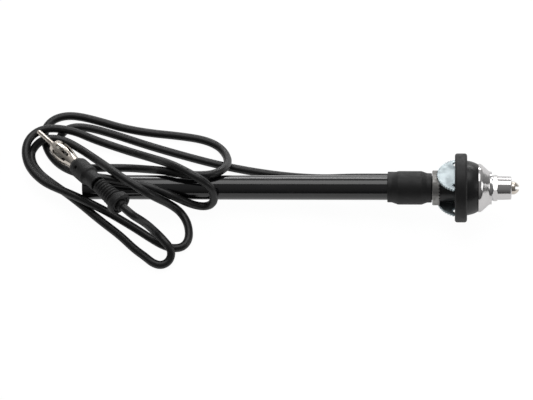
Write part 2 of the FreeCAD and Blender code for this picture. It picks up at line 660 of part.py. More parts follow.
# Chrome cap: a ball seat inside, a rounded cone and a raised top outside
cap = new_body("chrome_cap")
turned(cap, "cap", [
    ("cap_rim_ahead", "cap_rim_bore"),
    ("cap_seat_ahead", "cap_seat_radius", "pivot_ahead", "0", "right"),
    ("cap_seat_ahead", "stem_radius + boot_gap"),
    ("cap_top", "stem_radius + boot_gap"),
    ("cap_top", "cap_top_radius"),
    ("cap_neck_ahead", "cap_top_radius"),
    ("cap_waist_ahead", "cap_waist_radius", "cap_neck_ahead", "cap_top_radius + cap_waist", "right"),
    ("cap_cone_ahead", "cap_cone_radius"),
    ("cap_rim_ahead", "cap_rim_radius", "cap_rim_ahead", "cap_rim_radius - cap_round", "left"),
])
on_mast(cap)

# Washer under the nut
plain_ring("spring_washer", "cap_top", "nut_back", "stem_radius + boot_gap", "washer_radius")

# Nose nut: a chamfered hexagon with a plain nose that keeps the bush in
nut = new_body("clamp_nut")
turned(nut, "blank", [
    ("nut_back", "nut_bore"),
    ("bush_front", "nut_bore"),
    ("bush_front", "nose_mouth_radius"),
    ("nose_face", "nose_mouth_radius"),
    ("nose_face", "nose_end_radius - nose_edge"),
    ("nose_face - nose_edge", "nose_end_radius"),
    ("hex_front", "nose_radius"),
    ("hex_front", "hex_radius - 2 * hex_chamfer"),
    ("hex_front - hex_chamfer", "hex_radius"),
    ("nut_back + hex_chamfer", "hex_radius"),
    ("nut_back", "hex_radius - 2 * hex_chamfer"),
])
flats = new_sketch(nut, "YZ_Plane", "flats", lift="nut_back - cut_over")
outline(flats, [
    ("hex_radius * sin(60deg * %d)" % corner, "hex_radius * cos(60deg * %d)" % corner)
    for corner in range(6, 0, -1)
])
circle_in(flats, "hex_radius + cut_over")
sunk(nut, flats, "hex_thick + cut_over")
on_mast(nut, "hex_roll")

# Bush that guides the mast in the nose
plain_ring("nose_bush", "stem_ahead", "bush_front", "section_1_radius + run_gap", "nut_bore - seat_gap")

# Insulating liner that the mast runs in
liner = new_body("liner_tube")
turned(liner, "wall", [
    ("tail_front - liner_seat", "liner_bore"),
    ("stem_ahead", "liner_bore"),
    ("stem_ahead", "liner_radius"),
    ("tail_front - liner_seat", "liner_radius"),
])
feed_hole(liner, "contact_pin_radius + seat_gap", "liner_radius + cut_over")
on_mast(liner, "lead_roll")

# Contact ring inside the liner, and the pin that feeds it from the lead's ferrule
plain_ring("contact_ring", "contact_back", "contact_back + contact_length",
           "section_1_radius + run_gap", "liner_bore - seat_gap")

contact_pin = new_body("contact_pin")
pin_sketch = new_sketch(contact_pin, "XY_Plane", "pin", lift="liner_bore + seat_gap")
circle_in(pin_sketch, "contact_pin_radius", "feed_ahead")
raised(contact_pin, pin_sketch, "lead_offset - ferrule_radius - liner_bore - 2 * seat_gap")
on_mast(contact_pin, "lead_roll")

ferrule = new_body("coax_ferrule")
turned(ferrule, "ferrule", [
    ("-boot_back", "ferrule_bore"),
    ("feed_front", "ferrule_bore"),
    ("feed_front", "ferrule_radius"),
    ("-boot_back", "ferrule_radius"),
], off_axis="lead_offset")
on_mast(ferrule, "lead_roll")

# Mast sections: drawn tubes, each with a drawn-in mouth that guides the next one
SECTION_RADII = ["section_1_radius", "section_2_radius", "section_3_radius", "rod_radius"]
for number in range(1, 4):
    radius = SECTION_RADII[number - 1]
    guide = SECTION_RADII[number] + " + run_gap"
    section = new_body("mast_section_%d" % number)
    tail = "-section_back + section_step * %d" % (number - 1)
    turned(section, "wall", [
        (tail, radius + " - section_wall"),
        ("nose_face - lip_length", radius + " - section_wall"),
        ("nose_face - lip_length", guide),
        ("nose_face", guide),
        ("nose_face", radius),
        (tail, radius),
    ])
    on_mast(section)

rod = new_body("top_rod")
turned(rod, "rod", [
    ("-section_back + section_step * 3", "0"),
    ("rod_front", "0"),
    ("rod_front", "rod_radius"),
    ("-section_back + section_step * 3", "rod_radius"),
])
on_mast(rod)

# Foot bushes that slide in the liner and in each section
FOOT_BORES = ["liner_bore", "section_1_radius - section_wall", "section_2_radius - section_wall",
              "section_3_radius - section_wall"]
for number in range(4):
    tail = "-section_back + section_step * %d" % number
    plain_ring("section_foot_%d" % (number + 1), tail, tail + " + foot_length",
               SECTION_RADII[number] + " + seat_gap", FOOT_BORES[number] + " - run_gap")

# Slotted knob on the rod
knob = new_body("mast_tip")
turned(knob, "ball", [
    ("knob_back", "0"),
    ("knob_centre + knob_radius", "0"),
    ("knob_centre", "knob_radius", "knob_centre", "0", "left"),
    ("knob_back", "sqrt(knob_radius ^ 2 - knob_flat ^ 2)", "knob_centre", "0", "left"),
])
turned(knob, "bore", [
    ("knob_back - cut_over", "0"),
    ("knob_back + knob_bore", "0"),
    ("knob_back + knob_bore", "rod_radius + seat_gap"),
    ("knob_back - cut_over", "rod_radius + seat_gap"),
], cut=True)
pull_slot = new_sketch(knob, "XZ_Plane", "pull_slot")
outline(pull_slot, [
    ("knob_centre + knob_radius - knob_slot_depth", "-knob_slot / 2"),
    ("knob_centre + knob_radius + cut_over", "-knob_slot / 2"),
    ("knob_centre + knob_radius + cut_over", "knob_slot / 2"),
    ("knob_centre + knob_radius - knob_slot_depth", "knob_slot / 2"),
])
sunk(knob, pull_slot, "2 * knob_radius + cut_over", both_ways=True)
on_mast(knob, "knob_slot_roll")

# Plug: centre pin, insulator and slotted spring barrel
pin = new_body("plug_pin")
turned(pin, "pin", [
    ("0", "0"),
    ("pin_length", "0"),
    ("pin_length", "pin_radius"),
    ("pin_nose", "pin_radius"),
    ("0", "pin_radius - pin_nose", "pin_nose", "pin_radius - pin_nose", "left"),
])
on_plug(pin)

insulator = new_body("plug_insulator")
turned(insulator, "disc", [
    ("insulator_front", "pin_radius + seat_gap"),
    ("insulator_front + insulator_length", "pin_radius + seat_gap"),
    ("insulator_front + insulator_length", "barrel_mouth_radius - barrel_wall - seat_gap"),
    ("insulator_front", "barrel_mouth_radius - barrel_wall - seat_gap"),
])
on_plug(insulator)

barrel = new_body("plug_barrel")
turned(barrel, "wall", [
    ("barrel_front", "barrel_mouth_radius"),
    ("barrel_wide", "barrel_radius", "barrel_wide", "barrel_radius - mouth_bend", "right"),
    ("barrel_wide + waist_run", "barrel_radius - waist_drop",
     "barrel_wide", "barrel_radius - waist_bend", "right"),
    ("barrel_narrow", "barrel_tail_radius", "barrel_narrow", "barrel_tail_radius + waist_bend", "left"),
    ("barrel_back", "barrel_tail_radius"),
    ("barrel_back", "barrel_tail_radius - barrel_wall"),
    ("barrel_narrow", "barrel_tail_radius - barrel_wall"),
    ("barrel_wide + waist_run - barrel_wall * sin(waist_angle)",
     "barrel_radius - waist_drop - barrel_wall * cos(waist_angle)",
     "barrel_narrow", "barrel_tail_radius + waist_bend", "right"),
    ("barrel_wide", "barrel_radius - barrel_wall", "barrel_wide", "barrel_radius - waist_bend", "left"),
    ("barrel_front", "barrel_mouth_radius - barrel_wall"),
])
spring_slot = new_sketch(barrel, "XY_Plane", "spring_slot")
outline(spring_slot, [
    ("slot_start + slot_width / 2", "-slot_width / 2"),
    ("slot_start + slot_length - slot_width / 2", "-slot_width / 2"),
    ("slot_start + slot_length", "0", "slot_start + slot_length - slot_width / 2", "0", "left"),
    ("slot_start + slot_length - slot_width / 2", "slot_width / 2",
     "slot_start + slot_length - slot_width / 2", "0", "left"),
    ("slot_start + slot_width / 2", "slot_width / 2"),
    ("slot_start", "0", "slot_start + slot_width / 2", "0", "left"),
])
slots = sunk(barrel, spring_slot, "barrel_radius + cut_over")
repeated(barrel, slots, (origin_part(barrel, "X_Axis"), [""]), "barrel_slots")
on_plug(barrel, "plug_roll")

# Rubber sleeve behind the barrel, with the socket of the flexing joint in its tail
sleeve = new_body("plug_sleeve")
turned(sleeve, "sleeve", [
    ("sleeve_front", "barrel_tail_radius + seat_gap"),
    ("barrel_back", "barrel_tail_radius + seat_gap"),
    ("barrel_back", "0"),
    ("joint_reach - socket_radius", "0"),
    ("sleeve_back", "socket_mouth", "joint_reach", "0", "right"),
    ("sleeve_back", "sleeve_tail_radius - sleeve_edge"),
    ("sleeve_back - sleeve_edge", "sleeve_tail_radius",
     "sleeve_back - sleeve_edge", "sleeve_tail_radius - sleeve_edge", "left"),
    ("sleeve_step + sleeve_slope", "sleeve_tail_radius"),
    ("sleeve_step", "sleeve_radius"),
    ("sleeve_front + sleeve_taper", "sleeve_radius"),
    ("sleeve_front + sleeve_edge", "sleeve_nose_radius"),
    ("sleeve_front", "sleeve_nose_radius - sleeve_edge",
     "sleeve_front + sleeve_edge", "sleeve_nose_radius - sleeve_edge", "left"),
])
crimp_hole = new_sketch(sleeve, "XY_Plane", "crimp_hole", lift="sleeve_hole_floor")
circle_in(crimp_hole, "sleeve_hole_radius", "sleeve_hole_back")
sunk(sleeve, crimp_hole, "sleeve_radius")
on_plug(sleeve, "sleeve_roll")

# Ribbed relief: a ball in the sleeve's socket, tapered ribs and a dished flange
relief = new_body("plug_relief")
steps = [
    ("relief_back", "0"),
    ("relief_back", "boss_radius"),
    ("flange_back - flange_dish", "boss_radius"),
    ("flange_back - flange_dish", "flange_radius - flange_edge - flange_rim"),
    ("flange_back", "flange_radius - flange_edge - flange_rim"),
    ("flange_back", "flange_radius - flange_edge"),
    ("flange_back - flange_edge", "flange_radius"),
    ("flange_start + flange_edge", "flange_radius"),
    ("flange_start", "flange_radius - flange_edge"),
]
for rib in range(int(value("rib_count")), 0, -1):
    rib_front = "rib_start + rib_pitch * %d" % (rib - 1)
    rib_radius = "rib_front_radius + rib_slope * rib_pitch * %d" % (rib - 1)
    steps += [
        ("rib_start + rib_pitch * %d" % rib, rib_radius + " - rib_depth"),
        (rib_front + " + rib_thick", rib_radius + " - rib_depth"),
        (rib_front + " + rib_thick", rib_radius),
        (rib_front, rib_radius),
    ]
steps += [
    ("rib_start", "sqrt(joint_radius ^ 2 - rib_start ^ 2)"),
    ("0", "joint_radius", "0", "0", "left"),
    ("-joint_radius", "0", "0", "0", "left"),
]
turned(relief, "relief", steps)
on_relief(relief)

doc.recompute()

# Lead: straight runs joined by tangent arcs, from the boot's spout to the plug's relief
LEAD_POINTS = [
    (30.3, 12.0, 10.0), (13.2, 14.1, 4.6), (-7.6, 16.0, 2.6), (-29.8, 18.7, 2.6), (-50.9, 22.8, 2.6),
    (-73.4, 28.9, 2.6), (-94.8, 35.3, 2.6), (-115.1, 42.4, 2.6), (-130.3, 46.9, 2.6), (-140.3, 47.8, 2.6),
    (-146.9, 45.0, 2.6), (-149.9, 39.2, 2.6), (-149.3, 32.1, 2.6), (-146.5, 24.8, 2.6),
    (-140.5, 19.3, 2.6), (-131.7, 17.0, 2.6), (-119.5, 17.9, 2.6), (-104.7, 18.1, 3.0),
    (-91.2, 12.8, 10.0), (-80.9, 5.7, 19.9), (-70.1, 1.8, 22.4), (-60.4, 1.2, 23.0), (-52.0, 2.8, 22.4),
    (-46.3, 9.5, 18.2), (-44.2, 19.5, 10.2), (-46.3, 29.9, 4.4), (-51.9, 37.3, 2.6), (-61.7, 41.4, 2.6),
    (-76.7, 43.4, 2.6), (-94.1, 44.7, 2.6), (-110.5, 47.5, 2.6), (-125.7, 52.2, 2.6),
    (-137.2, 55.2, 2.6), (-146.0, 55.9, 2.6), (-153.8, 53.3, 2.6), (-158.7, 47.5, 2.6),
    (-159.5, 39.6, 2.6), (-157.2, 31.1, 2.6), (-152.4, 22.5, 3.4), (-145.2, 13.6, 8.0),
    (-136.4, 4.8, 15.8), (-127.1, 0.8, 18.6), (-116.7, -0.6, 18.8), (-105.0, -2.6, 19.2),
    (-93.3, -5.2, 19.2), (-83.6, -7.2, 17.4), (-74.4, -10.1, 15.0), (-66.1, -10.4, 9.0),
    (-59.5, -9.9, 5.6), (-54.3, -10.0, 7.0), (-51.4, -10.3, 13.0), (-51.7, -9.3, 19.5),
    (-53.6, -7.9, 24.6), (-59.3, -6.0, 29.4), (-67.3, -1.8, 30.4), (-78.1, 6.3, 26.8),
    (-91.7, 20.7, 11.0), (-105.5, 29.7, 3.6), (-118.2, 34.6, 2.8), (-129.3, 36.7, 6.0),
    (-139.3, 39.6, 8.9), (-149.3, 41.5, 9.0), (-158.0, 41.3, 9.0), (-164.5, 38.2, 8.4),
    (-168.6, 32.2, 8.2), (-169.5, 24.3, 7.4), (-167.3, 15.9, 7.4), (-162.6, 8.4, 7.8),
    (-155.2, 1.3, 8.6), (-145.6, -3.4, 9.0), (-134.7, -8.9, 10.2), (-125.4, -12.6, 8.2),
    (-117.0, -14.5, 3.8), (-107.6, -19.5, 2.6), (-97.4, -26.1, 2.6), (-88.6, -32.2, 2.6),
    (-81.0, -36.9, 2.6), (-74.6, -38.7, 2.6), (-69.2, -37.5, 2.6), (-66.2, -33.1, 2.6),
    (-65.7, -26.9, 2.6), (-67.6, -19.1, 2.6), (-72.1, -12.9, 4.0), (-78.1, -11.6, 9.5),
    (-83.9, -12.9, 16.4), (-91.4, -13.8, 24.4), (-99.3, -10.2, 27.6), (-107.6, -4.5, 27.0),
    (-116.5, 6.2, 20.6), (-126.7, 20.3, 9.4), (-136.1, 28.6, 6.6), (-144.3, 32.6, 8.2),
    (-152.4, 34.3, 8.8), (-159.0, 33.3, 8.6), (-163.6, 31.0, 5.4), (-166.6, 26.4, 2.8),
    (-164.7, 18.9, 2.6), (-159.5, 11.7, 2.6), (-152.3, 5.7, 2.6), (-142.5, -1.4, 2.6),
    (-132.0, -10.0, 2.6), (-119.6, -21.0, 2.6), (-107.4, -30.7, 2.6), (-98.3, -39.9, 2.6),
    (-91.3, -45.2, 2.6), (-86.5, -49.4, 2.6), (-81.7, -51.0, 2.6), (-77.6, -49.1, 3.0),
    (-75.5, -45.8, 4.6), (-75.7, -42.6, 7.2), (-78.6, -39.3, 9.2), (-83.1, -34.6, 10.0),
    (-87.1, -32.4, 13.2), (-90.2, -33.3, 20.0), (-93.4, -35.3, 27.6),
]


def lead_path(points, share):
    """Straight runs between the points, with a tangent arc at every inner point."""
    edges = []
    radii = []
    start = points[0]
    for i in range(1, len(points) - 1):
        before = points[i] - points[i - 1]
        after = points[i + 1] - points[i]
        turn = before.getAngle(after)
        cut = share * min(before.Length, after.Length)
        before.normalize()
        after.normalize()
        radius = cut / math.tan(turn / 2)
        arc_start = points[i] - before * cut
        arc_end = points[i] + after * cut
        inward = (after - before).normalize()
        centre = points[i] + inward * (radius / math.cos(turn / 2))
        middle = centre - inward * radius
        edges.append(Part.LineSegment(start, arc_start).toShape())
        edges.append(Part.Arc(arc_start, middle, arc_end).toShape())
        radii.append(radius)
        start = arc_end
    edges.append(Part.LineSegment(start, points[-1]).toShape())
    return Part.Wire(edges), radii


mouth = Vector(value("-boot_back"), 0, value("lead_offset"))
lead_start = boot.Placement.multVec(mouth)
lead_way = boot.Placement.Rotation.multVec(Vector(-1, 0, 0))
relief_end = relief.Placement.multVec(Vector(value("relief_back"), 0, 0))
relief_way = relief.Placement.Rotation.multVec(Vector(1, 0, 0))
route = [lead_start, lead_start + lead_way * value("lead_start_run")]
route += [Vector(*point) for point in LEAD_POINTS]
route += [relief_end + relief_way * value("lead_end_run"), relief_end]

path, radii = lead_path(route, value("lead_bend_share"))
section = Part.Wire([Part.Circle(lead_start, lead_way, value("lead_radius")).toShape()])
lead = doc.addObject("Part::Feature", "coax_cable")
lead.Label = "coax_cable"
lead.Shape = path.makePipeShell([section], True, False)
lead.Placement = FreeCAD.Placement()
parts.append(lead)
doc.recompute()

# Reports and checks before anything is written
expected = math.pi * value("lead_radius") ** 2 * path.Length
print("lead length %.1f mm, volume %.1f of %.1f mm3" % (path.Length, lead.Shape.Volume, expected))
print("lead bend radii, mm:", " ".join("%.1f" % radius for radius in radii))
for item in doc.Objects:
    if "Invalid" in item.State or "Error" in item.State:
        raise RuntimeError("%s did not build: %s" % (item.Name, item.State))
for part in parts:
    if part.Shape.isNull() or not part.Shape.isValid() or len(part.Shape.Solids) != 1:
        raise RuntimeError("%s is not one valid solid" % part.Label)

os.makedirs("parts", exist_ok=True)
for part in parts:
    part.Shape.exportStep("parts/" + part.Label + ".step")
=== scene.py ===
import json
import math

import bmesh
import bpy
from bpy.props import FloatProperty, FloatVectorProperty, IntProperty, PointerProperty
from bpy.types import Operator, Panel, PropertyGroup
from mathutils import Matrix, Vector


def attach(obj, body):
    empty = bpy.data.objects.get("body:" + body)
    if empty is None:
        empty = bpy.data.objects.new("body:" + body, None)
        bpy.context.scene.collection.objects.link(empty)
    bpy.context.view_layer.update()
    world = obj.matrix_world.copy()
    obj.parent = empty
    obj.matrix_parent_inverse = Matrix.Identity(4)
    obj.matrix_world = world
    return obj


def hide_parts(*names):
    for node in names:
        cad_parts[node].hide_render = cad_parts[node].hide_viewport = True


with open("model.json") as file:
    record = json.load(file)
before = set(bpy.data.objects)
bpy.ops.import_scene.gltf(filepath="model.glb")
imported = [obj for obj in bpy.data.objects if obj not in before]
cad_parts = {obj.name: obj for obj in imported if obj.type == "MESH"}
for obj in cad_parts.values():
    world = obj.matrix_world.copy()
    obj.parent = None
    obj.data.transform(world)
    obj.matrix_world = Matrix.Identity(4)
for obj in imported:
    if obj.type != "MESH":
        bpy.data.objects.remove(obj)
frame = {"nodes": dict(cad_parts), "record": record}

bl_info = {
    "name": "Telescopic antenna",
    "version": (1, 0, 0),
    "blender": (4, 5, 0),
    "location": "View3D > Sidebar > Antenna",
    "description": "Dresses the frame of a retractable car aerial: lead, rubber parts, finishes and stage",
    "category": "Object",
}

# Places in metres, headings and turns in degrees

MM = 0.001
PIVOT_AHEAD = 4.85 * MM
BOOT_ROLL = -110.0
SPOUT = (-41.2 * MM, 0.0, 10.4 * MM)
PLUG_TIP = (-0.16176, 0.03512, 0.0144)
PLUG_HEADING = (-49.7, 15.6)
JOINT_REACH = 66.95 * MM
RELIEF_HEADING = (-45.7, 3.7)
RELIEF_BACK = 22.55 * MM
LEAD_START_RUN = 12.0 * MM
LEAD_END_RUN = 8.0 * MM
# Slotted barrel, whose bore gets painted shade, from the tip of the pin: its widest place, its bore there,
# how fast the bore narrows
BARREL_WIDE = 28.6 * MM
BARREL_BORE = 5.1 * MM
BARREL_TAPER = 14.0
PIN_CLEAR = 1.7 * MM
# Ribs of the relief: rows along it, sides round it, where a crest stands in its pitch, how full it is
RIB_ROWS = 170
RIB_SIDES = 72
CREST_PLACE = 0.54
CREST_FULLNESS = 0.55
# End flange of the relief, from axis to axis in millimetres: along, radius, rounding
END_FLANGE = [
    (16.4, 0, 0), (16.4, 7.2, 0.7), (20.55, 7.3, 0.8), (20.55, 5.5, 0.3),
    (19.4, 5.1, 0.5), (19.4, 3.7, 0.4), (22.55, 3.5, 0.5), (22.55, 0, 0),
]
# Camera: turn about the upright, tilt from straight down, roll, distance to its target, lens in millimetres
CAMERA_TURNS = ((2.2, "Z"), (33.0, "X"), (0.128, "Z"))
CAMERA_DISTANCE = 1.6
CAMERA_LENS = 177.1
# Lamps: place and sides
LAMPS = {
    "overhead": ((0.0, 0.35, 1.0), (1.0, 0.7)),
    "strip": ((0.0, 1.2, 0.4), (1.2, 0.25)),
    "side": ((1.1, -0.1, 0.5), (0.5, 0.5)),
}
# Sky's level: everywhere, more towards the back, more upward
SKY_BASE = 0.04
SKY_BACK = 0.34
SKY_UP = 0.2
# Floor: half its side, its share of plain white seen by the camera and in reflections, that white's level
FLOOR_HALF = 4.0
WHITE_SEEN = 0.9
WHITE_MIRRORED = 0.45
WHITE_LEVEL = 1.07
# A skin with fewer faces than this came out empty
FEWEST_FACES = 1000
# Route of the lead in millimetres, from the boot to the plug
LEAD_POINTS = [
    (30.3, 12.0, 10.0), (13.2, 14.1, 4.6), (-7.6, 16.0, 2.6), (-29.8, 18.7, 2.6), (-50.9, 22.8, 2.6),
    (-73.4, 28.9, 2.6), (-94.8, 35.3, 2.6), (-115.1, 42.4, 2.6), (-130.3, 46.9, 2.6), (-140.3, 47.8, 2.6),
    (-146.9, 45.0, 2.6), (-149.9, 39.2, 2.6), (-149.3, 32.1, 2.6), (-146.5, 24.8, 2.6),
    (-140.5, 19.3, 2.6), (-131.7, 17.0, 2.6), (-119.5, 17.9, 2.6), (-104.7, 18.1, 3.0),
    (-91.2, 12.8, 10.0), (-80.9, 5.7, 19.9), (-70.1, 1.8, 22.4), (-60.4, 1.2, 23.0), (-52.0, 2.8, 22.4),
    (-46.3, 9.5, 18.2), (-44.2, 19.5, 10.2), (-46.3, 29.9, 4.4), (-51.9, 37.3, 2.6), (-61.7, 41.4, 2.6),
    (-76.7, 43.4, 2.6), (-94.1, 44.7, 2.6), (-110.5, 47.5, 2.6), (-125.7, 52.2, 2.6),
    (-137.2, 55.2, 2.6), (-146.0, 55.9, 2.6), (-153.8, 53.3, 2.6), (-158.7, 47.5, 2.6),
    (-159.5, 39.6, 2.6), (-157.2, 31.1, 2.6), (-152.4, 22.5, 3.4), (-145.2, 13.6, 8.0),
    (-136.4, 4.8, 15.8), (-127.1, 0.8, 18.6), (-116.7, -0.6, 18.8), (-105.0, -2.6, 19.2),
    (-93.3, -5.2, 19.2), (-83.6, -7.2, 17.4), (-74.4, -10.1, 15.0), (-66.1, -10.4, 9.0),
    (-59.5, -9.9, 5.6), (-54.3, -10.0, 7.0), (-51.4, -10.3, 13.0), (-51.7, -9.3, 19.5),
    (-53.6, -7.9, 24.6), (-59.3, -6.0, 29.4), (-67.3, -1.8, 30.4), (-78.1, 6.3, 26.8),
    (-91.7, 20.7, 11.0), (-105.5, 29.7, 3.6), (-118.2, 34.6, 2.8), (-129.3, 36.7, 6.0),
    (-139.3, 39.6, 8.9), (-149.3, 41.5, 9.0), (-158.0, 41.3, 9.0), (-164.5, 38.2, 8.4),
    (-168.6, 32.2, 8.2), (-169.5, 24.3, 7.4), (-167.3, 15.9, 7.4), (-162.6, 8.4, 7.8),
    (-155.2, 1.3, 8.6), (-145.6, -3.4, 9.0), (-134.7, -8.9, 10.2), (-125.4, -12.6, 8.2),
    (-117.0, -14.5, 3.8), (-107.6, -19.5, 2.6), (-97.4, -26.1, 2.6), (-88.6, -32.2, 2.6),
    (-81.0, -36.9, 2.6), (-74.6, -38.7, 2.6), (-69.2, -37.5, 2.6), (-66.2, -33.1, 2.6),
    (-65.7, -26.9, 2.6), (-67.6, -19.1, 2.6), (-72.1, -12.9, 4.0), (-78.1, -11.6, 9.5),
    (-83.9, -12.9, 16.4), (-91.4, -13.8, 24.4), (-99.3, -10.2, 27.6), (-107.6, -4.5, 27.0),
    (-116.5, 6.2, 20.6), (-126.7, 20.3, 9.4), (-136.1, 28.6, 6.6), (-144.3, 32.6, 8.2),
    (-152.4, 34.3, 8.8), (-159.0, 33.3, 8.6), (-163.6, 31.0, 5.4), (-166.6, 26.4, 2.8),
    (-164.7, 18.9, 2.6), (-159.5, 11.7, 2.6), (-152.3, 5.7, 2.6), (-142.5, -1.4, 2.6),
    (-132.0, -10.0, 2.6), (-119.6, -21.0, 2.6), (-107.4, -30.7, 2.6), (-98.3, -39.9, 2.6),
    (-91.3, -45.2, 2.6), (-86.5, -49.4, 2.6), (-81.7, -51.0, 2.6), (-77.6, -49.1, 3.0),
    (-75.5, -45.8, 4.6), (-75.7, -42.6, 7.2), (-78.6, -39.3, 9.2), (-83.1, -34.6, 10.0),
    (-87.1, -32.4, 13.2), (-90.2, -33.3, 20.0), (-93.4, -35.3, 27.6),
]


def heading(yaw, rise):
    """Unit vector from a heading on the floor and a slope, in degrees."""
    yaw, rise = math.radians(yaw), math.radians(rise)
    return Vector((math.cos(rise) * math.cos(yaw), math.cos(rise) * math.sin(yaw), math.sin(rise)))


def placed(origin, way, roll=0.0):
    """Frame with X along way and Y level, then turned about X by roll degrees."""
    x = Vector(way).normalized()
    y = Vector((0, 0, 1)).cross(x).normalized()
    turn = Matrix((x, y, x.cross(y))).transposed().to_4x4()
    return Matrix.Translation(Vector(origin)) @ turn @ Matrix.Rotation(math.radians(roll), 4, "X")


def joint(name):
    """A joint of the frame, from its record."""
    return next(row for row in frame["record"]["behaviour"]["joints"] if row["name"] == name)


MAST_WAY = Vector(joint("section_1_slide")["axis"]).normalized()
SEAT = Vector(joint("claw_hinge")["pos_m"]) - PIVOT_AHEAD * MAST_WAY
MAST = placed(SEAT, MAST_WAY)
BOOT = placed(SEAT, MAST_WAY, BOOT_ROLL)
PLUG = placed(PLUG_TIP, heading(*PLUG_HEADING))
RELIEF = placed(PLUG @ Vector((JOINT_REACH, 0, 0)), heading(*RELIEF_HEADING))


# Settings

class LeadSettings(PropertyGroup):
    """Size of the lead"""
    diameter: FloatProperty(name="Diameter", description="Outside of the lead", default=0.005,
                            unit="LENGTH", subtype="DISTANCE", min=0.001)
    length: FloatProperty(name="Length", description="Length of the lead from boot to plug", default=1.25,
                          unit="LENGTH", subtype="DISTANCE", min=0.1)


class RubberSettings(PropertyGroup):
    """How the rubber skins are built"""
    grain: FloatProperty(name="Grain", description="Size of the cells that the rubber is rebuilt from",
                         default=0.00032, unit="LENGTH", subtype="DISTANCE", min=0.0001)
    rounds: IntProperty(name="Rounding", description="How far the rubber's edges are eased", default=5, min=0)


class ReliefSettings(PropertyGroup):
    """Ribs of the relief behind the plug"""
    front: FloatProperty(name="Front radius", description="First rib", default=0.0046,
                         unit="LENGTH", subtype="DISTANCE")
    back: FloatProperty(name="Back radius", description="Last rib", default=0.0058,
                        unit="LENGTH", subtype="DISTANCE")
    pitch: FloatProperty(name="Pitch", description="Spacing of the ribs", default=0.00205,
                         unit="LENGTH", subtype="DISTANCE")
    depth: FloatProperty(name="Depth", description="Depth of a groove", default=0.00085,
                         unit="LENGTH", subtype="DISTANCE")
    length: FloatProperty(name="Length", description="Ribbed length", default=0.0170,
                          unit="LENGTH", subtype="DISTANCE")


class StageSettings(PropertyGroup):
    """Lamps and camera"""
    overhead: FloatProperty(name="Overhead box", description="Power of the soft box above", default=3.8,
                            unit="POWER", min=0)
    strip: FloatProperty(name="Back strip", description="Power of the strip behind", default=4.5,
                         unit="POWER", min=0)
    side: FloatProperty(name="Side box", description="Power of the box at the nose's side", default=1.4,
                        unit="POWER", min=0)
    target: FloatVectorProperty(name="Target", description="What the camera looks at",
                                default=(-0.02015, 0.0001, 0.0), unit="LENGTH", subtype="TRANSLATION")


# Node graphs

class Value:
    """One value on its way through a node graph; numbers combine with + - * /."""

    def __init__(self, graph, socket):
        self.graph, self.socket = graph, socket

    def maths(self, operation, *items):
        """Combine values and numbers in one maths node."""
        return self.graph.node("ShaderNodeMath", {"operation": operation}, items)

    def __add__(self, other):
        return self.maths("ADD", self, other)

    def __radd__(self, other):
        return self.maths("ADD", other, self)

    def __sub__(self, other):
        return self.maths("SUBTRACT", self, other)

    def __rsub__(self, other):
        return self.maths("SUBTRACT", other, self)

    def __mul__(self, other):
        return self.maths("MULTIPLY", self, other)

    def __rmul__(self, other):
        return self.maths("MULTIPLY", other, self)

    def __truediv__(self, other):
        return self.maths("DIVIDE", self, other)

    def __rtruediv__(self, other):
        return self.maths("DIVIDE", other, self)

    def power(self, other):
        return self.maths("POWER", self, other)

    def at_least(self, other):
        return self.maths("MAXIMUM", self, other)

    def cosine(self):
        return self.maths("COSINE", self)


class Graph:
    """A node tree that is filled one node at a time."""

    def __init__(self, tree):
        self.tree = tree

    def node(self, kind, settings=(), inputs=(), output=0):
        """Add a node: settings first, then inputs by place or name, as numbers or as other values."""
        node = self.tree.nodes.new(kind)
        for key, setting in dict(settings).items():
            setattr(node, key, setting)
        for key, item in (inputs.items() if isinstance(inputs, dict) else enumerate(inputs)):
            if isinstance(item, Value):
                self.tree.links.new(item.socket, node.inputs[key])
            else:
                node.inputs[key].default_value = item
        return Value(self, node.outputs[output])


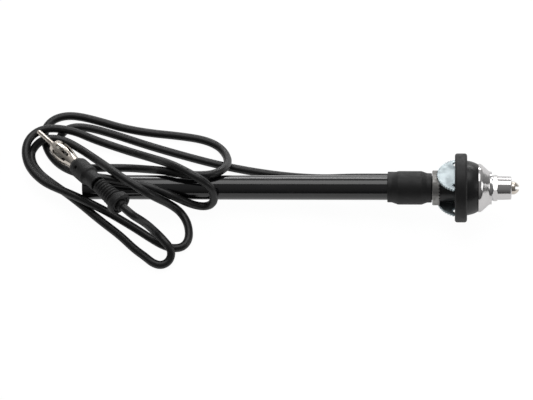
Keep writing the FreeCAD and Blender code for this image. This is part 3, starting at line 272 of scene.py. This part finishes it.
class Finish(Graph):
    """A procedural material that reads its piece's own coordinates."""

    def __init__(self, name, color, metallic=0.0, **constants):
        self.material = bpy.data.materials.new("finish_" + name)
        self.material.use_nodes = True
        super().__init__(self.material.node_tree)
        self.shader = self.tree.nodes["Principled BSDF"]
        self.color = (*color, 1.0)
        self.shader.inputs["Metallic"].default_value = metallic
        for key, constant in constants.items():
            self.shader.inputs[key.replace("_", " ").title()].default_value = constant
        self.place = self.node("ShaderNodeTexCoord", output="Object")

    def settle(self, matrix):
        """Read coordinates in the frame of a piece instead of the model's."""
        self.place = self.node("ShaderNodeMapping", {"vector_type": "TEXTURE"}, {
            "Vector": self.place, "Location": matrix.translation, "Rotation": matrix.to_euler("XYZ")})
        return self

    def noise(self, scale, detail=3.0, stretch=(1.0, 1.0, 1.0)):
        """Noise between 0 and 1, drawn out by stretch."""
        vector = self.node("ShaderNodeVectorMath", {"operation": "MULTIPLY"}, [self.place, stretch])
        return self.node("ShaderNodeTexNoise", {}, {"Vector": vector, "Scale": scale, "Detail": detail})

    def lines(self, spacing):
        """Fine rings square to the piece's own X axis."""
        along = self.node("ShaderNodeSeparateXYZ", {}, [self.place], output="X")
        return self.node("ShaderNodeTexNoise", {"noise_dimensions": "1D"},
                         {"W": along / spacing, "Scale": 1.0, "Detail": 2.0})

    def within(self, outer, inner):
        """1 between an inner radius and an outer one that varies along the piece's X axis, else 0."""
        x, y, z = (self.node("ShaderNodeSeparateXYZ", {}, [self.place], output=axis) for axis in "XYZ")
        radius = (y * y + z * z).power(0.5)
        return radius.maths("LESS_THAN", radius, outer(x)) * radius.maths("GREATER_THAN", radius, inner)

    def patches(self, value, low, high):
        """Turn soft noise into patches between two levels."""
        return self.node("ShaderNodeMapRange", {"interpolation_type": "SMOOTHSTEP"},
                         {"Value": value, "From Min": low, "From Max": high})

    def tint(self, factor, color):
        """Base colour, with another colour mixed into it."""
        mixed = self.node("ShaderNodeMix", {"data_type": "RGBA"},
                          {0: factor, 6: self.color, 7: (*color, 1.0)}, output=2)
        self.tree.links.new(mixed.socket, self.shader.inputs["Base Color"])
        return self

    def dull(self, value):
        """Roughness from a value."""
        self.tree.links.new(value.socket, self.shader.inputs["Roughness"])
        return self

    def bump(self, height, distance):
        """Fine relief from a height between 0 and 1, distance metres deep; ends the finish."""
        normal = self.node("ShaderNodeBump", {}, {"Height": height, "Distance": distance, "Strength": 1.0})
        self.tree.links.new(normal.socket, self.shader.inputs["Normal"])
        return self


def gloss_black():
    """Painted tube: deep gloss with slight orange peel and a few dull scuffs."""
    made = Finish("tube_black", (0.006, 0.006, 0.007), coat_weight=0.6, coat_roughness=0.05).settle(MAST)
    scuffs = made.patches(made.noise(60, 6, (0.4, 1, 1)), 0.6, 0.78)
    made.tint(scuffs * 0.3, (0.03, 0.03, 0.032)).dull(0.1 + scuffs * 0.14 + made.noise(220) * 0.05)
    return made.bump(made.noise(420, 2), 0.00003)


def rubber():
    """Moulded rubber: matte, grainy, a little dusty."""
    made = Finish("soft_rubber", (0.006, 0.006, 0.0063))
    dust = made.patches(made.noise(90, 5), 0.45, 0.8)
    made.tint(dust * 0.4, (0.015, 0.0147, 0.0143)).dull(0.42 + made.noise(300) * 0.24)
    return made.bump(made.noise(2600, 4) + made.noise(400) * 0.6, 0.00006)


def moulding():
    """Satin black moulding with faint flow marks."""
    made = Finish("black_moulding", (0.008, 0.008, 0.0085)).settle(MAST)
    marks = made.patches(made.noise(70, 4, (2, 1, 1)), 0.5, 0.75)
    made.tint(marks * 0.5, (0.018, 0.018, 0.019)).dull(0.26 + made.noise(260) * 0.16)
    return made.bump(made.noise(1500, 3), 0.00003)


def zinc_ring():
    """Turned zinc: mid grey, mottled, with fine rings."""
    made = Finish("zinc_ring", (0.33, 0.325, 0.315), metallic=1.0).settle(MAST)
    mottle = made.patches(made.noise(380, 6), 0.4, 0.7)
    made.tint(mottle * 0.6, (0.17, 0.165, 0.155)).dull(0.34 + mottle * 0.2 + made.lines(0.0003) * 0.12)
    return made.bump(made.lines(0.00025), 0.00008)


def zinc_claw():
    """Pressed sheet: pale blue grey passivated zinc with soft blotches and pressing marks."""
    made = Finish("zinc_claw", (0.5, 0.56, 0.58), metallic=1.0).settle(MAST)
    blotch = made.patches(made.noise(160, 6), 0.42, 0.72)
    made.tint(blotch * 0.35, (0.34, 0.39, 0.41)).dull(0.42 + blotch * 0.2 + made.noise(1200) * 0.08)
    return made.bump(made.noise(900, 4, (1, 3, 1)), 0.00005)


def chrome():
    """Polished chrome with faint turning rings and hazy patches."""
    made = Finish("chrome_plate", (0.73, 0.715, 0.715), metallic=1.0).settle(MAST)
    haze = made.patches(made.noise(140, 5), 0.5, 0.8)
    made.tint(haze * 0.3, (0.5, 0.475, 0.46)).dull(0.09 + haze * 0.1 + made.lines(0.0004) * 0.08)
    return made.bump(made.lines(0.00022), 0.00002)


def barrel_bore(along):
    """Bore of the slotted barrel at a place along the plug; the outer bound of the painted shade."""
    off = along - BARREL_WIDE
    return BARREL_BORE - off * off * BARREL_TAPER


def nickel():
    """Warm nickel plate with light tarnish, and painted shade darkening the inside of the slotted barrel."""
    made = Finish("nickel", (0.74, 0.68, 0.61), metallic=1.0).settle(PLUG)
    tarnish = made.patches(made.noise(110, 5), 0.45, 0.75)
    # Painted shade: inside the barrel's bore the colour is pulled to the dark tarnish tone as its shade, and
    # it is rougher there
    painted_bore_shade = made.within(barrel_bore, PIN_CLEAR)
    made.tint((tarnish * 0.3).at_least(painted_bore_shade), (0.05, 0.042, 0.036))
    made.dull((0.16 + tarnish * 0.14 + made.lines(0.0004) * 0.04).at_least(painted_bore_shade * 0.7))
    return made.bump(made.lines(0.0004), 0.000008)


def steel():
    """Bright drawn tube with lines along it."""
    made = Finish("steel", (0.66, 0.66, 0.67), metallic=1.0).settle(MAST)
    drawn = made.noise(900, 4, (0.02, 1, 1))
    made.tint(made.patches(drawn, 0.4, 0.7) * 0.4, (0.48, 0.48, 0.5)).dull(0.14 + drawn * 0.16)
    return made.bump(drawn, 0.00002)


def brass():
    """Plain brass, slightly dulled."""
    made = Finish("brass_inner", (0.72, 0.53, 0.26), metallic=1.0).settle(MAST)
    dulled = made.patches(made.noise(300, 5), 0.45, 0.7)
    made.tint(dulled * 0.6, (0.45, 0.32, 0.16)).dull(0.25 + dulled * 0.2)
    return made.bump(made.lines(0.0003), 0.00003)


def insulator():
    """Natural moulded plastic with faint yellowing."""
    made = Finish("white_insulator", (0.72, 0.71, 0.66))
    aged = made.patches(made.noise(200, 4), 0.4, 0.7)
    made.tint(aged * 0.5, (0.66, 0.62, 0.52)).dull(0.36 + made.noise(500) * 0.16)
    return made.bump(made.noise(1400, 3), 0.00002)


def jacket():
    """Satin jacket of the lead with faint drag marks and dust."""
    made = Finish("lead_jacket", (0.006, 0.006, 0.0065))
    dust = made.patches(made.noise(120, 5), 0.5, 0.8)
    made.tint(dust * 0.5, (0.016, 0.016, 0.017)).dull(0.3 + made.noise(420) * 0.18)
    return made.bump(made.noise(1100, 4), 0.00005)


FINISHES = {
    "tube_black": gloss_black, "soft_rubber": rubber, "black_moulding": moulding, "zinc_ring": zinc_ring,
    "zinc_claw": zinc_claw, "chrome_plate": chrome, "nickel": nickel, "steel": steel,
    "brass_inner": brass, "white_insulator": insulator, "lead_jacket": jacket,
}


def finish(slot):
    """The material of a slot, made once."""
    return bpy.data.materials.get("finish_" + slot) or FINISHES[slot]().material


# Pieces

def new_piece(name, data, body, slot, node):
    """Show a new object, tie it to its body and let it stand for a piece of the frame."""
    piece = bpy.data.objects.new(name, data)
    bpy.context.scene.collection.objects.link(piece)
    piece.data.materials.clear()
    piece.data.materials.append(finish(slot))
    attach(piece, body)
    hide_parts(node)
    return piece


def welded(mesh):
    """Merge doubled points and turn every face outward."""
    shape = bmesh.new()
    shape.from_mesh(mesh)
    bmesh.ops.remove_doubles(shape, verts=shape.verts, dist=1e-7)
    bmesh.ops.recalc_face_normals(shape, faces=shape.faces)
    shape.to_mesh(mesh)
    shape.free()


def baked(piece):
    """Replace a piece's mesh by what its modifiers make of it, then drop them."""
    bpy.context.view_layer.update()
    seen = piece.evaluated_get(bpy.context.evaluated_depsgraph_get())
    mesh = bpy.data.meshes.new_from_object(seen)
    piece.modifiers.clear()
    piece.data = mesh
    return mesh


def whole(piece):
    """Stop when a skin came out empty."""
    if len(piece.data.polygons) < FEWEST_FACES:
        raise RuntimeError("%s came out empty" % piece.name)


def eased(corners, steps=5, share=0.45):
    """Round the corners (x, r, ease) of an outline; ease is how far the rounding reaches along its
    edges, up to a share of each."""
    line = []
    for place, (x, r, ease) in enumerate(corners):
        here = Vector((x, r))
        if not ease or place in (0, len(corners) - 1):
            line.append(here)
            continue
        before = Vector(corners[place - 1][:2]) - here
        after = Vector(corners[place + 1][:2]) - here
        start = here + before.normalized() * min(ease, before.length * share)
        end = here + after.normalized() * min(ease, after.length * share)
        for step in range(steps + 1):
            t = step / steps
            line.append(start * (1 - t) ** 2 + here * 2 * t * (1 - t) + end * t ** 2)
    return line


def turned(name, outline, sides=96):
    """Mesh of an outline turned about the X axis; the outline runs from axis to axis."""
    points = [(x, r * math.cos(turn), r * math.sin(turn)) for x, r in outline
              for turn in (2 * math.pi * side / sides for side in range(sides))]
    faces = [(row * sides + side, row * sides + (side + 1) % sides,
              (row + 1) * sides + (side + 1) % sides, (row + 1) * sides + side)
             for row in range(len(outline) - 1) for side in range(sides)]
    mesh = bpy.data.meshes.new(name)
    mesh.from_pydata(points, [], faces)
    welded(mesh)
    return mesh


def softened(name, node, body, settings):
    """Rubber skin over a moulded piece, with its edges rounded as a mould leaves them."""
    mesh = frame["nodes"][node].data.copy()
    mesh.name = name
    welded(mesh)
    piece = new_piece(name, mesh, body, "soft_rubber", node)
    cells = piece.modifiers.new("Cells", "REMESH")
    cells.mode = "VOXEL"
    cells.voxel_size = settings.grain
    easing = piece.modifiers.new("Easing", "SMOOTH")
    easing.factor = 0.5
    easing.iterations = settings.rounds
    baked(piece).shade_smooth()
    whole(piece)


def ribbed_tree():
    """Geometry nodes for the relief's ribs: a line whose radius rises to each rib."""
    tree = bpy.data.node_groups.new("Ribbed relief", "GeometryNodeTree")
    for name in ("Length", "Front", "Back", "Pitch", "Depth"):
        tree.interface.new_socket(name=name, in_out="INPUT", socket_type="NodeSocketFloat")
    tree.interface.new_socket(name="Material", in_out="INPUT", socket_type="NodeSocketMaterial")
    tree.interface.new_socket(name="Geometry", in_out="OUTPUT", socket_type="NodeSocketGeometry")
    graph = Graph(tree)
    entry = tree.nodes.new("NodeGroupInput")
    given = {socket.name: Value(graph, socket) for socket in entry.outputs if socket.name}
    end = graph.node("ShaderNodeCombineXYZ", {}, {"X": given["Length"]})
    line = graph.node("GeometryNodeCurvePrimitiveLine", {}, {"End": end})
    line = graph.node("GeometryNodeResampleCurve", {}, {"Curve": line, "Count": RIB_ROWS})
    along = graph.node("ShaderNodeSeparateXYZ", {}, [graph.node("GeometryNodeInputPosition")], output="X")
    taper = given["Front"] + (given["Back"] - given["Front"]) * (along / given["Length"])
    wave = ((along + given["Pitch"] * CREST_PLACE) / given["Pitch"] * math.tau).cosine() * 0.5 + 0.5
    radius = taper - given["Depth"] * (1.0 - wave.power(CREST_FULLNESS))
    ring = graph.node("GeometryNodeCurvePrimitiveCircle", {}, {"Resolution": RIB_SIDES, "Radius": 1.0})
    mesh = graph.node("GeometryNodeCurveToMesh", {}, {
        "Curve": line, "Profile Curve": ring, "Scale": radius, "Fill Caps": True})
    mesh = graph.node("GeometryNodeRealizeInstances", {}, {"Geometry": mesh})
    mesh = graph.node("GeometryNodeSetMaterial", {}, {"Geometry": mesh, "Material": given["Material"]})
    tree.links.new(mesh.socket, tree.nodes.new("NodeGroupOutput").inputs["Geometry"])
    return tree


# Operators

class ANTENNA_OT_stage(Operator):
    """Set the camera, the lights, the world and the floor"""
    bl_idname = "antenna.stage"
    bl_label = "Stage"

    def execute(self, context):
        settings = context.scene.antenna_stage
        scene = context.scene
        scene.view_settings.view_transform = "Standard"
        lens = bpy.data.cameras.new("camera")
        lens.lens, lens.sensor_width, lens.sensor_fit = CAMERA_LENS, 36.0, "HORIZONTAL"
        lens.clip_start = 0.05
        camera = bpy.data.objects.new("camera", lens)
        matrix = Matrix.Translation(Vector(settings.target))
        for turn, axis in CAMERA_TURNS:
            matrix = matrix @ Matrix.Rotation(math.radians(turn), 4, axis)
        camera.matrix_world = matrix @ Matrix.Translation((0, 0, CAMERA_DISTANCE))
        scene.collection.objects.link(camera)
        scene.camera = camera
        for name, (place, sides) in LAMPS.items():
            light = bpy.data.lights.new(name, "AREA")
            light.shape, light.energy = "RECTANGLE", getattr(settings, name)
            light.size, light.size_y = sides
            lamp = bpy.data.objects.new(name, light)
            lamp.matrix_world = Matrix.Translation(place) @ (
                Vector(place).to_track_quat("Z", "Y").to_matrix().to_4x4())
            scene.collection.objects.link(lamp)
        self.sky(scene)
        self.floor(scene)
        return {"FINISHED"}

    def sky(self, scene):
        """White behind the piece, a soft gradient for light and reflections."""
        world = bpy.data.worlds.new("studio")
        world.use_nodes = True
        world.node_tree.nodes.clear()
        graph = Graph(world.node_tree)
        way = graph.node("ShaderNodeTexCoord", output="Generated")
        back = graph.node("ShaderNodeSeparateXYZ", {}, [way], output="Y")
        up = graph.node("ShaderNodeSeparateXYZ", {}, [way], output="Z")
        level = SKY_BASE + back.at_least(0.0) * SKY_BACK + up.at_least(0.0) * SKY_UP
        seen = graph.node("ShaderNodeLightPath", output="Is Camera Ray")
        level = level + (1.0 - level) * seen
        light = graph.node("ShaderNodeBackground", {}, {"Color": (1, 1, 1, 1), "Strength": level})
        exit_node = world.node_tree.nodes.new("ShaderNodeOutputWorld")
        world.node_tree.links.new(light.socket, exit_node.inputs["Surface"])
        scene.world = world

    def floor(self, scene):
        """White floor that shows only a trace of the shadows."""
        mesh = bpy.data.meshes.new("floor")
        corners = [(-1, -1), (1, -1), (1, 1), (-1, 1)]
        mesh.from_pydata([(FLOOR_HALF * x, FLOOR_HALF * y, 0) for x, y in corners], [], [(0, 1, 2, 3)])
        floor = bpy.data.objects.new("floor", mesh)
        scene.collection.objects.link(floor)
        material = bpy.data.materials.new("floor")
        material.use_nodes = True
        material.node_tree.nodes.clear()
        graph = Graph(material.node_tree)
        seen, mirrored, through = (graph.node("ShaderNodeLightPath", output="Is %s Ray" % kind)
                                   for kind in ("Camera", "Glossy", "Transmission"))
        shown = (seen * WHITE_SEEN).at_least(mirrored * WHITE_MIRRORED).at_least(through * WHITE_MIRRORED)
        matte = graph.node("ShaderNodeBsdfDiffuse", {}, {"Color": (0.85, 0.85, 0.85, 1)})
        white = graph.node("ShaderNodeEmission", {}, {"Color": (1, 1, 1, 1), "Strength": WHITE_LEVEL})
        mixed = graph.node("ShaderNodeMixShader", {}, [shown, matte, white])
        exit_node = material.node_tree.nodes.new("ShaderNodeOutputMaterial")
        material.node_tree.links.new(mixed.socket, exit_node.inputs["Surface"])
        mesh.materials.append(material)
        return floor


class ANTENNA_OT_finishes(Operator):
    """Give every piece of the frame its finish"""
    bl_idname = "antenna.finishes"
    bl_label = "Finishes"

    def execute(self, context):
        for row in frame["record"]["subparts"]:
            node = frame["nodes"][row["node"]]
            node.data.materials.clear()
            node.data.materials.append(finish(row["material_slot"]))
        return {"FINISHED"}


class ANTENNA_OT_rubber(Operator):
    """Boot, flange and plug sleeve in rubber"""
    bl_idname = "antenna.rubber"
    bl_label = "Rubber parts"

    def execute(self, context):
        settings = context.scene.antenna_rubber
        softened("boot_skin", "rubber_boot", "base", settings)
        softened("flange_skin", "base_gasket", "claw_tilt", settings)
        softened("sleeve_skin", "plug_sleeve", "base", settings)
        return {"FINISHED"}


class ANTENNA_OT_relief(Operator):
    """Ribbed relief behind the plug, with its dished end flange"""
    bl_idname = "antenna.relief"
    bl_label = "Ribbed relief"

    def execute(self, context):
        settings = context.scene.antenna_relief
        piece = new_piece("relief_skin", bpy.data.meshes.new("relief_skin"), "base", "soft_rubber",
                          "plug_relief")
        ribs = piece.modifiers.new("Ribs", "NODES")
        ribs.node_group = ribbed_tree()
        given = {"Length": settings.length, "Front": settings.front, "Back": settings.back,
                 "Pitch": settings.pitch, "Depth": settings.depth, "Material": finish("soft_rubber")}
        for row in ribs.node_group.interface.items_tree:
            if row.in_out == "INPUT":
                ribs[row.identifier] = given[row.name]
        mesh = baked(piece)
        flange = turned("end_flange", eased([[MM * size for size in corner] for corner in END_FLANGE]))
        shape = bmesh.new()
        shape.from_mesh(mesh)
        shape.from_mesh(flange)
        shape.to_mesh(mesh)
        shape.free()
        bpy.data.meshes.remove(flange)
        mesh.transform(RELIEF)
        welded(mesh)
        mesh.shade_smooth()
        whole(piece)
        return {"FINISHED"}


class ANTENNA_OT_lead(Operator):
    """The coiled lead from the boot to the plug"""
    bl_idname = "antenna.lead"
    bl_label = "Lead"

    def execute(self, context):
        settings = context.scene.antenna_lead
        start = BOOT @ Vector(SPOUT)
        route = [start, start - LEAD_START_RUN * MAST_WAY]
        route += [Vector(point) * MM for point in LEAD_POINTS]
        route += [RELIEF @ Vector((RELIEF_BACK + LEAD_END_RUN, 0, 0)), RELIEF @ Vector((RELIEF_BACK, 0, 0))]
        curve = bpy.data.curves.new("lead", "CURVE")
        curve.dimensions = "3D"
        curve.resolution_u = 14
        spline = curve.splines.new("NURBS")
        spline.points.add(len(route) - 1)
        for point, place in zip(spline.points, route):
            point.co = (*place, 1.0)
        spline.order_u = 3
        spline.use_endpoint_u = True
        curve.bevel_depth = settings.diameter / 2
        curve.bevel_resolution = 6
        curve.use_fill_caps = True
        lead = new_piece("lead", curve, "base", "lead_jacket", "coax_cable")
        with_lead = [frame["nodes"][name] for name in ("plug_pin", "plug_insulator", "plug_barrel")]
        with_lead += [bpy.data.objects[name] for name in ("sleeve_skin", "relief_skin")]
        return {"FINISHED"}


class ANTENNA_PT_sidebar(Panel):
    """Steps of the antenna, in order"""
    bl_idname = "ANTENNA_PT_sidebar"
    bl_label = "Antenna"
    bl_space_type = "VIEW_3D"
    bl_region_type = "UI"
    bl_category = "Antenna"

    def draw(self, context):
        for step in STEPS:
            self.layout.operator(step.bl_idname)


SETTINGS = {"antenna_lead": LeadSettings, "antenna_rubber": RubberSettings,
            "antenna_relief": ReliefSettings, "antenna_stage": StageSettings}
STEPS = (ANTENNA_OT_stage, ANTENNA_OT_finishes, ANTENNA_OT_rubber, ANTENNA_OT_relief, ANTENNA_OT_lead)


def register():
    """Make the settings, the steps and the panel known."""
    for kind in (*SETTINGS.values(), *STEPS, ANTENNA_PT_sidebar):
        bpy.utils.register_class(kind)
    for name, kind in SETTINGS.items():
        setattr(bpy.types.Scene, name, PointerProperty(type=kind))


def unregister():
    """Forget them again."""
    for name in SETTINGS:
        delattr(bpy.types.Scene, name)
    for kind in reversed((*SETTINGS.values(), *STEPS, ANTENNA_PT_sidebar)):
        bpy.utils.unregister_class(kind)


def main():
    """Run every step in order."""
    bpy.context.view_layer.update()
    register()
    bpy.ops.antenna.stage()
    bpy.ops.antenna.finishes()
    bpy.ops.antenna.rubber()
    bpy.ops.antenna.relief()
    bpy.ops.antenna.lead()


if __name__ == "__main__":
    main()
